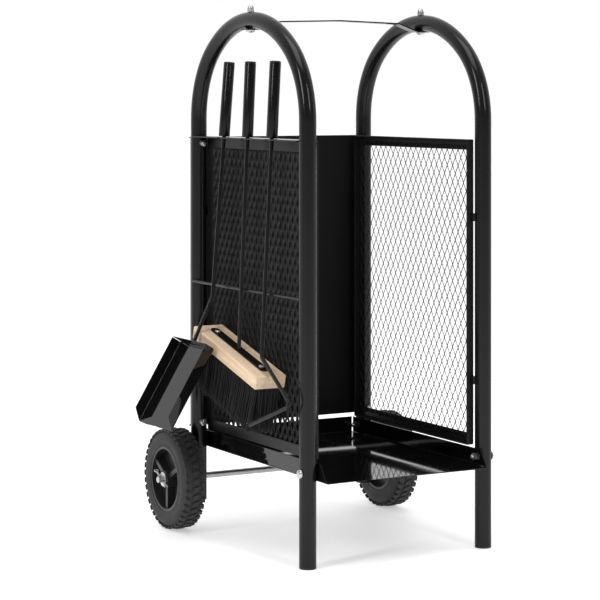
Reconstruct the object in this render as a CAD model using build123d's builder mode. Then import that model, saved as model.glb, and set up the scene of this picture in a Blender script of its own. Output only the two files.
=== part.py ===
from build123d import *
from math import cos, radians, sin, sqrt, tan
import os

# Firewood log rack on two wheels, with a shovel, a brush and a poker hung on its left side.
# X runs across the rack, from the tool side to the other side. Y runs from the open front to
# the rear, where the wheels are. Z is up, and the floor is z = 0. All sizes are millimetres.

# ---------------------------------------------------------------- driving sizes: frame
rack_width = 300.0          # between the centres of the left and right tubes
rack_depth = 350.0          # between the centres of the front and rear legs
rack_height = 800.0         # top of the tubes; the strap nuts stand 10 above it
tube_d = 25.0
tube_wall = 1.2
arch_rise = 150.0           # from where the legs start to bend to the top of the centreline
shoulder_turn = 50.0        # degrees that the tighter shoulder bend turns through
leg_end_drop = 33.0         # from the axle down to the cut ends of the rear legs
cap_flange = 3.0            # thickness of the plastic caps' visible flange
cap_plug = 18.0             # how far the caps reach into the tube
fit_gap = 0.1               # gap around parts that are pushed or laid together
weld_gap = 0.02             # gap left between a welded edge and the tube it follows

# ---------------------------------------------------------------- driving sizes: panels and tray
panel_drop = 28.5           # from where the tubes start to bend down to the panels' top edge
mesh_lift = 4.0             # between the tray's lips and the mesh frames
mesh_frame_gap = 1.7        # between the corners of the mesh frames and the legs
mesh_bar = 16.0             # width of the angle bars' visible face
mesh_bar_depth = 12.0
mesh_bar_wall = 1.6
mesh_tuck = 1.5             # how far the angle bars reach out past the tubes' inner faces
mesh_sheet = 1.5
diamond_wide = 15.0         # pitch of the mesh across
diamond_tall = 25.0         # pitch of the mesh along its height
strand = 1.9
tab_high = 12.0
tab_up = 97.0               # from the mesh frame's bottom edge up to the lower tabs
tab_down = 116.0            # and from its top edge down to the upper ones
back_lift = 6.0             # between the tray's rear lip and the back panel
back_sheet = 1.2
back_lip = 8.0
back_overlap = 8.0          # how far the back panel reaches past the legs' centres
tray_bottom = 123.0
tray_lip = 26.0
tray_sheet = 1.5
tray_overhang = 31.0        # from the front legs' centres to the tray's front edge
tray_slant = 18.0           # how far the side lips are cut back at the front

# ---------------------------------------------------------------- driving sizes: tool hangers
ledge_sheet = 2.0
ledge_reach = 16.0          # from the tubes' centre plane out to the edge of the ledge
hang_reach = 6.0            # from the tubes' centre plane out to the hanging tools
notch_clearance = 0.6       # around the rods, in the notches
tool_pitch = 77.0
tool_centre = -1.0          # the middle tool, from the middle of the rack
rest_bar_d = 5.0
rest_bar_drop = 227.0       # this and the tools' own drops are measured from the ledge's top
rest_gap = 0.4              # between the rest bar and the rod that hangs steepest

# ---------------------------------------------------------------- driving sizes: wheels
wheel_d = 156.0
tyre_width = 38.0
tyre_shoulder = 7.0
rim_d = 100.0
rim_wall = 4.0
rim_inset = 1.5             # from the tyre's side to the edge of the rim
web_depth = 17.0            # from the rim's edge in to the hub's web
web_wall = 4.0
boss_d = 26.0
hub_ribs = 3
rib_wall = 7.0
rib_high = 13.6             # from the web out to the ribs' edge
tread_lugs = 26
tread_depth = 3.0
tread_gap = 4.5
lug_reach = 16.0            # length of each lug, from the tyre's side
axle_d = 10.0
axle_edge = 1.0             # chamfer at the axle's ends
axle_play = 0.08            # radial play of the hubs on the axle
boss_reach = 8.0            # how far the boss stands past the tyre, towards the leg
side_play = 0.5             # end float of the wheels
washer_wall = 1.5
washer_d = 22.0
axle_end = 9.0              # from the outer washer to the axle's end
pin_d = 3.0
pin_length = 40.0
pin_turn = 62.0             # degrees that the split pins are turned from upright

# ---------------------------------------------------------------- driving sizes: fasteners
bolt_d = 6.0
bolt_hole = 6.6
head_d = 14.0
head_high = 4.0
nut_flats = 10.0
nut_high = 5.0
dome_high = 5.0
dome_step = 0.4             # how far the dome is set in from the nut's flats
tray_bolt_up = 13.0         # from the tray's underside up to its bolts
panel_bolt_inset = 9.0      # from the back panel's top and bottom edges to its bolts

# ---------------------------------------------------------------- driving sizes: carry strap
strap_wide = 20.0
strap_thick = 2.0
strap_foot = 11.0           # flat length each side of the bolt
strap_ramp = 34.0
strap_lift = 12.0
strap_crown = 3.0
strap_bend = 14.0

# ---------------------------------------------------------------- driving sizes: tools
rod_d = 6.0
grip_d = 17.0
grip_length = 114.0
grip_wall = 1.5
grip_base = 8.0             # solid part at the foot of each grip
grip_cap = 3.0
rod_grip = 30.0             # how far each rod reaches into its grip
grip_gap = 0.4              # between the grips and the ledge that they rest on
shovel_lean = 4.6           # degrees that each hanging rod leans out at the bottom
brush_lean = 2.6
poker_lean = 3.0
rod_bend = 14.0
shovel_bend_drop = 242.0
pan_length = 138.0
pan_width = 115.0
pan_wall = 17.0
pan_slant = 15.6
pan_sheet = 1.2
pan_tilt = 31.0             # degrees that the pan leans out from upright
pan_out = 50.5              # from the tubes' centre plane out to the top of the pan's floor
pan_drop = 315.0
block_length = 212.0
block_width = 50.0
block_thick = 20.0
block_tilt = 15.0           # degrees that the block's front end dips
block_drop = 316.0
block_edge = 1.5            # chamfer along the block's edges
plate_length = 176.0
plate_width = 14.0
plate_thick = 2.0
brush_screw_pitch = 146.0
screw_d = 3.5
screw_head_d = 8.0
screw_head_high = 2.0
screw_length = 14.0
bristle_length = 72.0
bristle_inset = 4.0         # from the block's edge in to the bristles
poker_bend_drop = 319.0
hook_forward = 108.0        # the poker's end goes this far forward
hook_drop = 56.0            # and this far down, before it turns back
hook_out = 10.0
prong_back = 102.0
prong_drop = 40.0
prong_out = 13.0

# ---------------------------------------------------------------- places that follow from them
half_w = rack_width / 2
half_d = rack_depth / 2
tube_r = tube_d / 2
bore_r = tube_r - tube_wall
spring_z = rack_height - tube_r - arch_rise
turn_share = (1 - sin(radians(shoulder_turn))) / cos(radians(shoulder_turn))
shoulder_r = (arch_rise - half_d * turn_share) / (1 - turn_share)
shoulder_y = half_d - shoulder_r              # the shoulder bends' centres
crown_r = shoulder_r + shoulder_y / cos(radians(shoulder_turn))
inner_x = half_w - tube_r                     # inner faces of the tubes
outer_x = half_w + tube_r
legs = [(side * half_w, end * half_d) for side in (-1, 1) for end in (-1, 1)]
axle_z = wheel_d / 2
rear_leg_end = axle_z - leg_end_drop
tray_lip_top = tray_bottom + tray_lip
tray_front = -half_d - tray_overhang
tray_rear = half_d + tube_r
tray_bolt_z = tray_bottom + tray_bolt_up
panel_top = spring_z - panel_drop
mesh_bottom = tray_lip_top + mesh_lift
back_bottom = tray_lip_top + back_lift
tab_levels = (mesh_bottom + tab_up, panel_top - tab_down)
back_y = half_d + tube_r + fit_gap            # front face of the back panel
mesh_outer = inner_x + mesh_tuck              # outer face of the angle bars
mesh_end = sqrt((tube_r + mesh_frame_gap) ** 2 - (tube_r - mesh_tuck) ** 2)
mesh_half = half_d - mesh_end                 # half the length of the mesh frames
panel_bolt_levels = (back_bottom + panel_bolt_inset, panel_top - panel_bolt_inset)
ledge_top = panel_top + ledge_sheet
hang_x = -half_w - hang_reach
ledge_edge = -half_w - ledge_reach
rest_bar_z = ledge_top - rest_bar_drop
shovel_bend_z = ledge_top - shovel_bend_drop
pan_z = ledge_top - pan_drop
block_z = ledge_top - block_drop
poker_bend_z = ledge_top - poker_bend_drop
steepest = min(shovel_lean, brush_lean, poker_lean)
rest_rod_x = hang_x - rest_bar_drop * tan(radians(steepest))
rest_bar_x = rest_rod_x + rod_d / 2 + rest_gap + rest_bar_d / 2
washer_in = outer_x + fit_gap                 # inner washer, against the leg
boss_in = washer_in + washer_wall + side_play
tyre_in = boss_in + boss_reach
tyre_out = tyre_in + tyre_width
boss_out = tyre_out
washer_out = boss_out + side_play
axle_half = washer_out + washer_wall + axle_end
pin_x = washer_out + washer_wall + pin_d / 2 + fit_gap
pin_way = (0, sin(radians(pin_turn)), cos(radians(pin_turn)))
strap_hollow = strap_wide ** 2 / 8 / (crown_r - tube_r)
strap_under = rack_height - tube_d - strap_hollow - fit_gap   # what the strap's feet lie against


# ---------------------------------------------------------------- shared shapes
def arch_tube(x):
    """One bent tube: front leg, flattened arch and short rear leg, hollow, with its bolt holes."""
    touch_y = shoulder_y + shoulder_r * cos(radians(shoulder_turn))
    touch_z = spring_z + shoulder_r * sin(radians(shoulder_turn))
    side_y = shoulder_y + shoulder_r * cos(radians(shoulder_turn / 2))
    side_z = spring_z + shoulder_r * sin(radians(shoulder_turn / 2))
    top_z = spring_z + arch_rise
    with BuildPart() as tube:
        with BuildLine() as path:
            Line((x, -half_d, cap_flange), (x, -half_d, spring_z))
            ThreePointArc((x, -half_d, spring_z), (x, -side_y, side_z), (x, -touch_y, touch_z))
            ThreePointArc((x, -touch_y, touch_z), (x, 0, top_z), (x, touch_y, touch_z))
            ThreePointArc((x, touch_y, touch_z), (x, side_y, side_z), (x, half_d, spring_z))
            Line((x, half_d, spring_z), (x, half_d, rear_leg_end))
        with BuildSketch(Plane((x, -half_d, cap_flange))):
            Circle(tube_r)
            Circle(bore_r, mode=Mode.SUBTRACT)
        sweep(path=path.wire())
        along_x = [(x, y, tray_bolt_z) for y in (-half_d, half_d)]
        with Locations(*[Location(point, (0, 90, 0)) for point in along_x]):
            Cylinder(bolt_hole / 2, 2 * tube_d, mode=Mode.SUBTRACT)
        with Locations(Location((x, half_d, axle_z), (0, 90, 0))):
            Cylinder(axle_d / 2 + fit_gap, 2 * tube_d, mode=Mode.SUBTRACT)
        along_y = [(x, half_d, z) for z in panel_bolt_levels]
        with Locations(*[Location(point, (90, 0, 0)) for point in along_y]):
            Cylinder(bolt_hole / 2, 2 * tube_d, mode=Mode.SUBTRACT)
        with Locations((x, 0, top_z)):
            Cylinder(bolt_hole / 2, 2 * tube_d, mode=Mode.SUBTRACT)
    return tube


def tube_caps(end, level):
    """A pair of plastic caps pushed into the tube ends, one on each side of the rack."""
    with BuildPart() as caps:
        for side in (-1, 1):
            with BuildSketch(Plane((side * half_w, end * half_d, level))):
                Circle(tube_r)
            extrude(amount=cap_flange)
            with BuildSketch(Plane((side * half_w, end * half_d, level + cap_flange))):
                Circle(bore_r - fit_gap)
                Circle(bore_r - tube_wall - fit_gap, mode=Mode.SUBTRACT)
            extrude(amount=cap_plug)
    return caps


def mesh_frame(side):
    """Four angle bars welded into a rectangle, which holds one sheet of expanded metal."""
    height = panel_top - mesh_bottom
    middle = (panel_top + mesh_bottom) / 2
    face = Plane((side * mesh_outer, 0, middle), x_dir=(0, 1, 0), z_dir=(-side, 0, 0))
    with BuildPart() as angle_bars:
        with BuildSketch(face):
            Rectangle(2 * mesh_half, height)
            Rectangle(2 * mesh_half - 2 * mesh_bar, height - 2 * mesh_bar, mode=Mode.SUBTRACT)
        extrude(amount=mesh_bar_wall)
        with BuildSketch(face):
            Rectangle(2 * mesh_half, height)
            rim_long = 2 * mesh_half - 2 * mesh_bar_wall
            Rectangle(rim_long, height - 2 * mesh_bar_wall, mode=Mode.SUBTRACT)
        extrude(amount=mesh_bar_depth)
    return angle_bars


def mesh_panel(side):
    """Expanded metal: rows of tall diamonds, every second row moved on by half a pitch."""
    sheet_half = mesh_half - mesh_bar_wall - fit_gap
    low = mesh_bottom + mesh_bar_wall + fit_gap
    high = panel_top - mesh_bar_wall - fit_gap
    half_high = (high - low) / 2
    long_half = diamond_tall / 2 - strand * sqrt(1 + (diamond_tall / diamond_wide) ** 2) / 2
    wide_half = long_half * diamond_wide / diamond_tall
    across = int((sheet_half - wide_half) / (diamond_wide / 2))
    along = int((half_high - long_half) / (diamond_tall / 2))
    sheet_x = mesh_outer - mesh_bar_wall - fit_gap
    face = Plane((side * sheet_x, 0, (low + high) / 2), x_dir=(0, 1, 0), z_dir=(-side, 0, 0))
    holes = []
    for column in range(-across, across + 1):
        for row in range(-along, along + 1):
            if (column + row) % 2 == 0:
                y = column * diamond_wide / 2
                z = row * diamond_tall / 2
                corners = [(y - wide_half, z), (y, z - long_half), (y + wide_half, z), (y, z + long_half)]
                holes.append(Wire.make_polygon([Vector(*corner) for corner in corners]))
    rim = Wire.make_rect(2 * sheet_half, 2 * half_high)
    with BuildPart() as expanded:
        with BuildSketch(face):
            add(Face(rim, holes))
        extrude(amount=mesh_sheet)
    return expanded


def open_tray(corner, length, lip, slant, width, sheet):
    """A folded sheet with a floor, a rear lip and two side lips that slant at the open end.

    The corner plane lies where the floor meets the rear lip: its x runs along the floor to the
    open end, its y stands up the lips, and its z runs across the tray.
    """
    with BuildPart() as tray:
        with BuildSketch(corner):
            with BuildLine():
                Polyline((0, 0), (length, 0), (length - slant, lip), (0, lip), close=True)
            make_face()
        extrude(amount=width / 2, both=True)
        with BuildSketch(corner):
            with BuildLine():
                inside = [(sheet, sheet), (2 * length, sheet), (2 * length, 2 * lip), (sheet, 2 * lip)]
                Polyline(*inside, close=True)
            make_face()
        extrude(amount=width / 2 - sheet, both=True, mode=Mode.SUBTRACT)
    return tray


def bolt_set(places, direction, grip):
    """Round-headed bolts: each head lies on its place, and the shank runs back from it."""
    with BuildPart() as bolts:
        for place in places:
            seat = Plane(place, z_dir=direction(place))
            with BuildSketch(seat):
                Circle(head_d / 2)
            extrude(amount=head_high)
            fillet(bolts.edges(Select.LAST).filter_by(GeomType.CIRCLE).sort_by(
                lambda edge: seat.to_local_coords(edge.center()).Z)[-1], head_high * 0.6)
            with BuildSketch(seat):
                Circle(bolt_d / 2)
            extrude(amount=-grip)
    return bolts


def nut_set(places, direction):
    """Hexagon nuts, each with its bearing face on its place."""
    with BuildPart() as nuts:
        for place in places:
            with BuildSketch(Plane(place, z_dir=direction(place))):
                RegularPolygon(nut_flats / 2, 6, major_radius=False)
                Circle(bolt_d / 2 + fit_gap, mode=Mode.SUBTRACT)
            extrude(amount=nut_high)
    return nuts


def outwards(place):
    """The direction across the rack, away from its middle."""
    return (1 if place[0] > 0 else -1, 0, 0)


def inwards(place):
    """The direction across the rack, towards its middle."""
    return (-1 if place[0] > 0 else 1, 0, 0)


def leg_holes():
    """Upright cylinders over all four legs, which trim what is welded to the legs."""
    with Locations(*[(x, y, rack_height / 2) for x, y in legs]):
        Cylinder(tube_r + weld_gap, rack_height, mode=Mode.SUBTRACT)


# ---------------------------------------------------------------- bent tubes and their caps
left_arch = arch_tube(-half_w)
right_arch = arch_tube(half_w)
front_foot_caps = tube_caps(-1, 0)
rear_leg_plugs = tube_caps(1, rear_leg_end - cap_flange)

# ---------------------------------------------------------------- side panels
left_mesh_frame = mesh_frame(-1)
right_mesh_frame = mesh_frame(1)
left_mesh = mesh_panel(-1)
right_mesh = mesh_panel(1)

with BuildPart() as mesh_frame_tabs:
    # small plates that bridge the gap between the angle bars and the legs
    tab_x = mesh_outer - mesh_bar_depth / 4
    for side in (-1, 1):
        for end in (-1, 1):
            for level in tab_levels:
                with Locations((side * tab_x, end * (mesh_half + half_d) / 2, level)):
                    Box(mesh_bar_depth / 2, mesh_end, tab_high)
    leg_holes()

# ---------------------------------------------------------------- back panel
with BuildPart() as back_panel:
    # sheet with a lip turned back along its top and bottom edges
    back_face = Plane((0, back_y, (panel_top + back_bottom) / 2), x_dir=(1, 0, 0), z_dir=(0, 1, 0))
    with BuildSketch(back_face):
        Rectangle(rack_width + 2 * back_overlap, panel_top - back_bottom)
    extrude(amount=back_lip)
    with BuildSketch(back_face.offset(back_sheet)):
        Rectangle(rack_width + 2 * back_overlap, panel_top - back_bottom - 2 * back_sheet)
    extrude(amount=back_lip, mode=Mode.SUBTRACT)
    back_places = [(side * half_w, back_y, z) for side in (-1, 1) for z in panel_bolt_levels]
    with Locations(*[Location(place, (90, 0, 0)) for place in back_places]):
        Cylinder(bolt_hole / 2, 4 * back_sheet, mode=Mode.SUBTRACT)

# ---------------------------------------------------------------- log tray
tray_corner = Plane((0, tray_rear, tray_bottom), x_dir=(0, -1, 0), z_dir=(-1, 0, 0))
log_tray = open_tray(tray_corner, tray_rear - tray_front, tray_lip, tray_slant,
                     2 * (inner_x - fit_gap), tray_sheet)
with log_tray:
    with Locations(*[Location((0, y, tray_bolt_z), (0, 90, 0)) for y in (-half_d, half_d)]):
        Cylinder(bolt_hole / 2, rack_width, mode=Mode.SUBTRACT)

# ---------------------------------------------------------------- tool ledge and rest bar
with BuildPart() as tool_ledge:
    ledge_wide = -ledge_edge - mesh_outer + mesh_bar_depth / 2
    with BuildSketch(Plane.XY.offset(panel_top)):
        with Locations((ledge_edge + ledge_wide / 2, 0)):
            Rectangle(ledge_wide, 2 * (half_d - tube_r / 2))
        notch_r = rod_d / 2 + notch_clearance
        with Locations(*[(hang_x, tool_centre + step * tool_pitch) for step in (-1, 0, 1)]):
            Circle(notch_r, mode=Mode.SUBTRACT)
            notch_align = (Align.MAX, Align.CENTER)
            Rectangle(rack_width, 2 * notch_r, align=notch_align, mode=Mode.SUBTRACT)
    extrude(amount=ledge_sheet)
    leg_holes()

with BuildPart() as tool_rest_bar:
    with Locations(Location((rest_bar_x, 0, rest_bar_z), (90, 0, 0))):
        Cylinder(rest_bar_d / 2, 2 * half_d)
    leg_holes()
    keep_between = tool_rest_bar.solids().sort_by(lambda solid: abs(solid.center().Y))[0]
    add(keep_between, mode=Mode.REPLACE)

# ---------------------------------------------------------------- carry strap
with BuildPart() as carry_strap:
    strap_mid = strap_under - strap_thick / 2
    foot_in = half_w - strap_foot
    ramp_in = foot_in - strap_ramp
    with BuildLine() as strap_path:
        strap_points = [(-half_w - strap_foot, 0, strap_mid), (-foot_in, 0, strap_mid)]
        strap_points += [(-ramp_in, 0, strap_mid + strap_lift)]
        strap_points += [(0, 0, strap_mid + strap_lift + strap_crown)]
        strap_points += [(ramp_in, 0, strap_mid + strap_lift)]
        strap_points += [(foot_in, 0, strap_mid), (half_w + strap_foot, 0, strap_mid)]
        FilletPolyline(*strap_points, radius=strap_bend)
    strap_start = Plane(strap_points[0], x_dir=(0, 1, 0), z_dir=(1, 0, 0))
    with BuildSketch(strap_start):
        Rectangle(strap_wide, strap_thick)
    sweep(path=strap_path.wire())
    with Locations(*[(side * half_w, 0, strap_mid) for side in (-1, 1)]):
        Cylinder(bolt_hole / 2, 4 * strap_thick, mode=Mode.SUBTRACT)

# ---------------------------------------------------------------- bolts and nuts
head_x = outer_x + fit_gap
nut_x = inner_x - tray_sheet - 2 * fit_gap
tray_levels = [(side, end) for side in (-1, 1) for end in (-1, 1)]
tray_bolts = bolt_set([(side * head_x, end * half_d, tray_bolt_z) for side, end in tray_levels],
                      outwards, head_x - nut_x + nut_high)
tray_nuts = nut_set([(side * nut_x, end * half_d, tray_bolt_z) for side, end in tray_levels], inwards)

panel_head_y = back_y + back_sheet + fit_gap
panel_nut_y = half_d - tube_r - fit_gap
panel_places = [(side * half_w, z) for side in (-1, 1) for z in panel_bolt_levels]
panel_bolts = bolt_set([(x, panel_head_y, z) for x, z in panel_places],
                       lambda place: (0, 1, 0), panel_head_y - panel_nut_y + nut_high)
panel_nuts = nut_set([(x, panel_nut_y, z) for x, z in panel_places], lambda place: (0, -1, 0))

strap_seat = strap_under - fit_gap - strap_thick
strap_nut_z = rack_height + fit_gap
strap_bolts = bolt_set([(side * half_w, 0, strap_seat) for side in (-1, 1)],
                       lambda place: (0, 0, -1), strap_nut_z - strap_seat + nut_high)

with BuildPart() as strap_nuts:
    # acorn nuts: each is a hexagon nut closed by a dome over the end of its bolt
    for side in (-1, 1):
        seat = Plane((side * half_w, 0, strap_nut_z))
        with BuildSketch(seat):
            RegularPolygon(nut_flats / 2, 6, major_radius=False)
        extrude(amount=nut_high)
        with BuildSketch(seat.offset(nut_high)):
            Circle(nut_flats / 2 - dome_step)
        extrude(amount=dome_high - fit_gap)
        dome_edges = strap_nuts.edges(Select.LAST).filter_by(GeomType.CIRCLE)
        fillet(dome_edges.group_by(Axis.Z)[-1], dome_high * 0.7)
        with BuildSketch(seat):
            Circle(bolt_d / 2 + fit_gap)
        extrude(amount=nut_high + fit_gap, mode=Mode.SUBTRACT)

# ---------------------------------------------------------------- axle, washers and split pins
with BuildPart() as axle:
    with Locations(Location((0, half_d, axle_z), (0, 90, 0))):
        Cylinder(axle_d / 2, 2 * axle_half)
    chamfer(axle.edges().filter_by(GeomType.CIRCLE), axle_edge)
    for side in (-1, 1):
        turned = Plane((side * pin_x, half_d, axle_z), z_dir=pin_way)
        with Locations(turned.location):
            Cylinder(pin_d / 2 + fit_gap, 2 * axle_d, mode=Mode.SUBTRACT)

with BuildPart() as axle_washers:
    for side in (-1, 1):
        for start in (washer_in, washer_out):
            with BuildSketch(Plane((side * start, half_d, axle_z), z_dir=(side, 0, 0))):
                Circle(washer_d / 2)
                Circle(axle_d / 2 + axle_play, mode=Mode.SUBTRACT)
            extrude(amount=washer_wall)

with BuildPart() as split_pins:
    for side in (-1, 1):
        turned = Plane((side * pin_x, half_d, axle_z), z_dir=pin_way)
        with Locations(turned.location):
            Cylinder(pin_d / 2, pin_length)
        eye = turned.offset(pin_length / 2 + pin_d)
        with Locations(Plane(eye.origin, z_dir=(1, 0, 0)).location):
            Torus(pin_d, pin_d / 2.5)


# ---------------------------------------------------------------- wheels
def wheel_hub(side):
    """Moulded hub: a rim, a web, a bored boss and ribs in the recess that faces outwards."""
    rim_in = tyre_in + rim_inset
    rim_out = tyre_out - rim_inset
    web_x = rim_out - web_depth
    centre = Plane((side * boss_in, half_d, axle_z), x_dir=(0, 1, 0), z_dir=(side, 0, 0))
    with BuildPart() as hub:
        with BuildSketch(centre.offset(rim_in - boss_in)):
            Circle(rim_d / 2)
            Circle(rim_d / 2 - rim_wall, mode=Mode.SUBTRACT)
        extrude(amount=rim_out - rim_in)
        with BuildSketch(centre.offset(web_x - web_wall - boss_in)):
            Circle(rim_d / 2 - rim_wall / 2)
        extrude(amount=web_wall)
        with BuildSketch(centre):
            Circle(boss_d / 2)
        extrude(amount=boss_out - boss_in)
        with BuildSketch(centre.offset(web_x - boss_in)):
            with PolarLocations((rim_d / 2 + boss_d / 2) / 2 - rim_wall / 2, hub_ribs, start_angle=90):
                Rectangle(rim_d / 2 - boss_d / 2, rib_wall)
        extrude(amount=rib_high)
        with BuildSketch(centre):
            Circle(axle_d / 2 + axle_play)
        extrude(amount=boss_out - boss_in, mode=Mode.SUBTRACT)
    return hub


def tyre(side):
    """Solid rubber tyre with rounded shoulders and lugs cut across both shoulders."""
    centre = Plane((side * tyre_in, half_d, axle_z), x_dir=(0, 1, 0), z_dir=(side, 0, 0))
    with BuildPart() as rubber:
        with BuildSketch(centre):
            Circle(wheel_d / 2)
        extrude(amount=tyre_width)
        fillet(rubber.edges().filter_by(GeomType.CIRCLE), tyre_shoulder)
        with BuildSketch(centre):
            Circle(rim_d / 2)
        extrude(amount=tyre_width, mode=Mode.SUBTRACT)
        for start, turn in ((0, 0), (tyre_width - lug_reach, 180 / tread_lugs)):
            with BuildSketch(centre.offset(start)):
                with PolarLocations(wheel_d / 2, tread_lugs, start_angle=turn):
                    Rectangle(2 * tread_depth, tread_gap)
            extrude(amount=lug_reach, mode=Mode.SUBTRACT)
    return rubber


left_wheel_hub = wheel_hub(-1)
right_wheel_hub = wheel_hub(1)
left_tyre = tyre(-1)
right_tyre = tyre(1)


# ---------------------------------------------------------------- fireside tools
def hanging_line(step, lean):
    """The plane of one hanging tool: its origin is in the ledge's notch and its z runs up the rod."""
    turn = radians(lean)
    notch = (hang_x, tool_centre + step * tool_pitch, ledge_top)
    return Plane(notch, x_dir=(0, 1, 0), z_dir=(sin(turn), 0, cos(turn)))


def point_on(line, level):
    """The point where a tool's straight rod passes a height above the floor."""
    rise = (level - line.origin.Z) / line.z_dir.Z
    return line.origin + line.z_dir * rise


def grip_start(lean):
    """How far up the rod the grip starts, so that its lowest edge just clears the ledge."""
    return grip_gap + grip_d / 2 * tan(radians(lean))


def tool_grip(line, lean):
    """Tubular grip that stands on the ledge, with a solid foot bored for the rod."""
    foot = line.offset(grip_start(lean))
    with BuildPart() as grip:
        with BuildSketch(foot):
            Circle(grip_d / 2)
        extrude(amount=grip_length - grip_cap)
        with BuildSketch(foot.offset(grip_base)):
            Circle(grip_d / 2 - grip_wall)
        extrude(amount=grip_length, mode=Mode.SUBTRACT)
        with BuildSketch(foot):
            Circle(rod_d / 2 + weld_gap)
        extrude(amount=grip_base, mode=Mode.SUBTRACT)
    return grip


def grip_end_cap(line, lean):
    """Round cap pushed into the top of a grip."""
    top = line.offset(grip_start(lean) + grip_length - grip_cap)
    with BuildPart() as cap:
        with BuildSketch(top):
            Circle(grip_d / 2)
        extrude(amount=grip_cap)
        fillet(cap.edges().filter_by(GeomType.CIRCLE).sort_by(Axis.Z)[-1], grip_cap * 0.6)
        with BuildSketch(top):
            Circle(grip_d / 2 - grip_wall - fit_gap)
        extrude(amount=-2 * grip_cap)
    return cap


def bent_rod(points, radii):
    """Round rod along a path of straight runs and bends."""
    with BuildPart() as rod:
        with BuildLine() as path:
            FilletPolyline(*points, radius=radii)
        first = (Vector(*points[1]) - Vector(*points[0])).normalized()
        with BuildSketch(Plane(points[0], z_dir=first)):
            Circle(rod_d / 2)
        sweep(path=path.wire())
    return rod


# shovel: the pan faces outwards, and the rod is welded to the middle of its top wall
shovel_line = hanging_line(1, shovel_lean)
shovel_grip = tool_grip(shovel_line, shovel_lean)
shovel_grip_cap = grip_end_cap(shovel_line, shovel_lean)
pan_turn = radians(pan_tilt)
pan_along = (-sin(pan_turn), 0, -cos(pan_turn))
pan_up = Vector(-cos(pan_turn), 0, sin(pan_turn))
pan_corner = Plane((-half_w - pan_out, shovel_line.origin.Y, pan_z), x_dir=pan_along, z_dir=(0, 1, 0))
shovel_pan = open_tray(pan_corner, pan_length, pan_wall, pan_slant, pan_width, pan_sheet)
pan_weld = pan_corner.origin + pan_up * (pan_wall / 2)
shovel_bend = point_on(shovel_line, shovel_bend_z)
shovel_tail = (pan_weld - shovel_bend).normalized()
shovel_top = (shovel_line.offset(grip_start(shovel_lean) + rod_grip)).origin
shovel_rod = bent_rod([shovel_top, shovel_bend, pan_weld + shovel_tail * rod_d], rod_bend)
with shovel_rod:
    weld_face = Plane(pan_corner.origin - Vector(*pan_along) * weld_gap, z_dir=-Vector(*pan_along))
    split(bisect_by=weld_face, keep=Keep.TOP)

# brush: a steel plate, screwed to the top of a wooden block, is welded to the end of the rod
brush_line = hanging_line(0, brush_lean)
brush_grip = tool_grip(brush_line, brush_lean)
brush_grip_cap = grip_end_cap(brush_line, brush_lean)
block_turn = radians(block_tilt)
block_along = (0, -cos(block_turn), -sin(block_turn))
block_up = (0, -sin(block_turn), cos(block_turn))
block_top = Plane(point_on(brush_line, block_z), x_dir=block_along, z_dir=block_up)

with BuildPart() as brush_block:
    with BuildSketch(block_top):
        Rectangle(block_length, block_width)
    extrude(amount=-block_thick)
    chamfer(brush_block.edges(), block_edge)
    with BuildSketch(block_top):
        with Locations((-brush_screw_pitch / 2, 0), (brush_screw_pitch / 2, 0)):
            Circle(screw_d / 2 + weld_gap)
    extrude(amount=-screw_length, mode=Mode.SUBTRACT)

with BuildPart() as brush_plate:
    with BuildSketch(block_top.offset(weld_gap)):
        SlotOverall(plate_length, plate_width)
        with Locations((-brush_screw_pitch / 2, 0), (brush_screw_pitch / 2, 0)):
            Circle(screw_d / 2 + fit_gap, mode=Mode.SUBTRACT)
    extrude(amount=plate_thick)

plate_top = block_top.offset(2 * weld_gap + plate_thick)
brush_top = (brush_line.offset(grip_start(brush_lean) + rod_grip)).origin
with BuildPart() as brush_rod:
    with BuildSketch(Plane(brush_top, z_dir=brush_line.z_dir)):
        Circle(rod_d / 2)
    extrude(amount=-(brush_top.Z - block_z) / brush_line.z_dir.Z - rod_d)
    split(bisect_by=plate_top, keep=Keep.TOP)

with BuildPart() as brush_screws:
    for end in (-1, 1):
        seat = Plane(plate_top.origin + plate_top.x_dir * (end * brush_screw_pitch / 2), z_dir=block_up)
        with BuildSketch(seat):
            Circle(screw_head_d / 2)
        extrude(amount=screw_head_high)
        rims = brush_screws.edges(Select.LAST).filter_by(GeomType.CIRCLE)
        outer_rim = rims.sort_by(lambda edge: seat.to_local_coords(edge.center()).Z)[-1]
        fillet(outer_rim, screw_head_high * 0.7)
        with BuildSketch(seat):
            Circle(screw_d / 2)
        extrude(amount=-screw_length + 2 * screw_head_high)

with BuildPart() as brush_bristles:
    with BuildSketch(block_top.offset(-block_thick - fit_gap)):
        Rectangle(block_length - 2 * bristle_inset, block_width - 2 * bristle_inset)
    extrude(amount=-bristle_length)

# poker: the rod bends forward and down, then turns sharply back into a long prong
poker_line = hanging_line(-1, poker_lean)
poker_grip = tool_grip(poker_line, poker_lean)
poker_grip_cap = grip_end_cap(poker_line, poker_lean)
poker_bend = point_on(poker_line, poker_bend_z)
hook_end = poker_bend + Vector(-hook_out, -hook_forward, -hook_drop)
prong_tip = hook_end + Vector(-prong_out, prong_back, -prong_drop)
poker_top = (poker_line.offset(grip_start(poker_lean) + rod_grip)).origin
poker_rod = bent_rod([poker_top, poker_bend, hook_end, prong_tip], rod_d)
with poker_rod:
    tip_edges = poker_rod.edges().filter_by(GeomType.CIRCLE)
    tip_edge = tip_edges.sort_by_distance(prong_tip)[0]
    chamfer(tip_edge, rod_d * 0.3)

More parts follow.
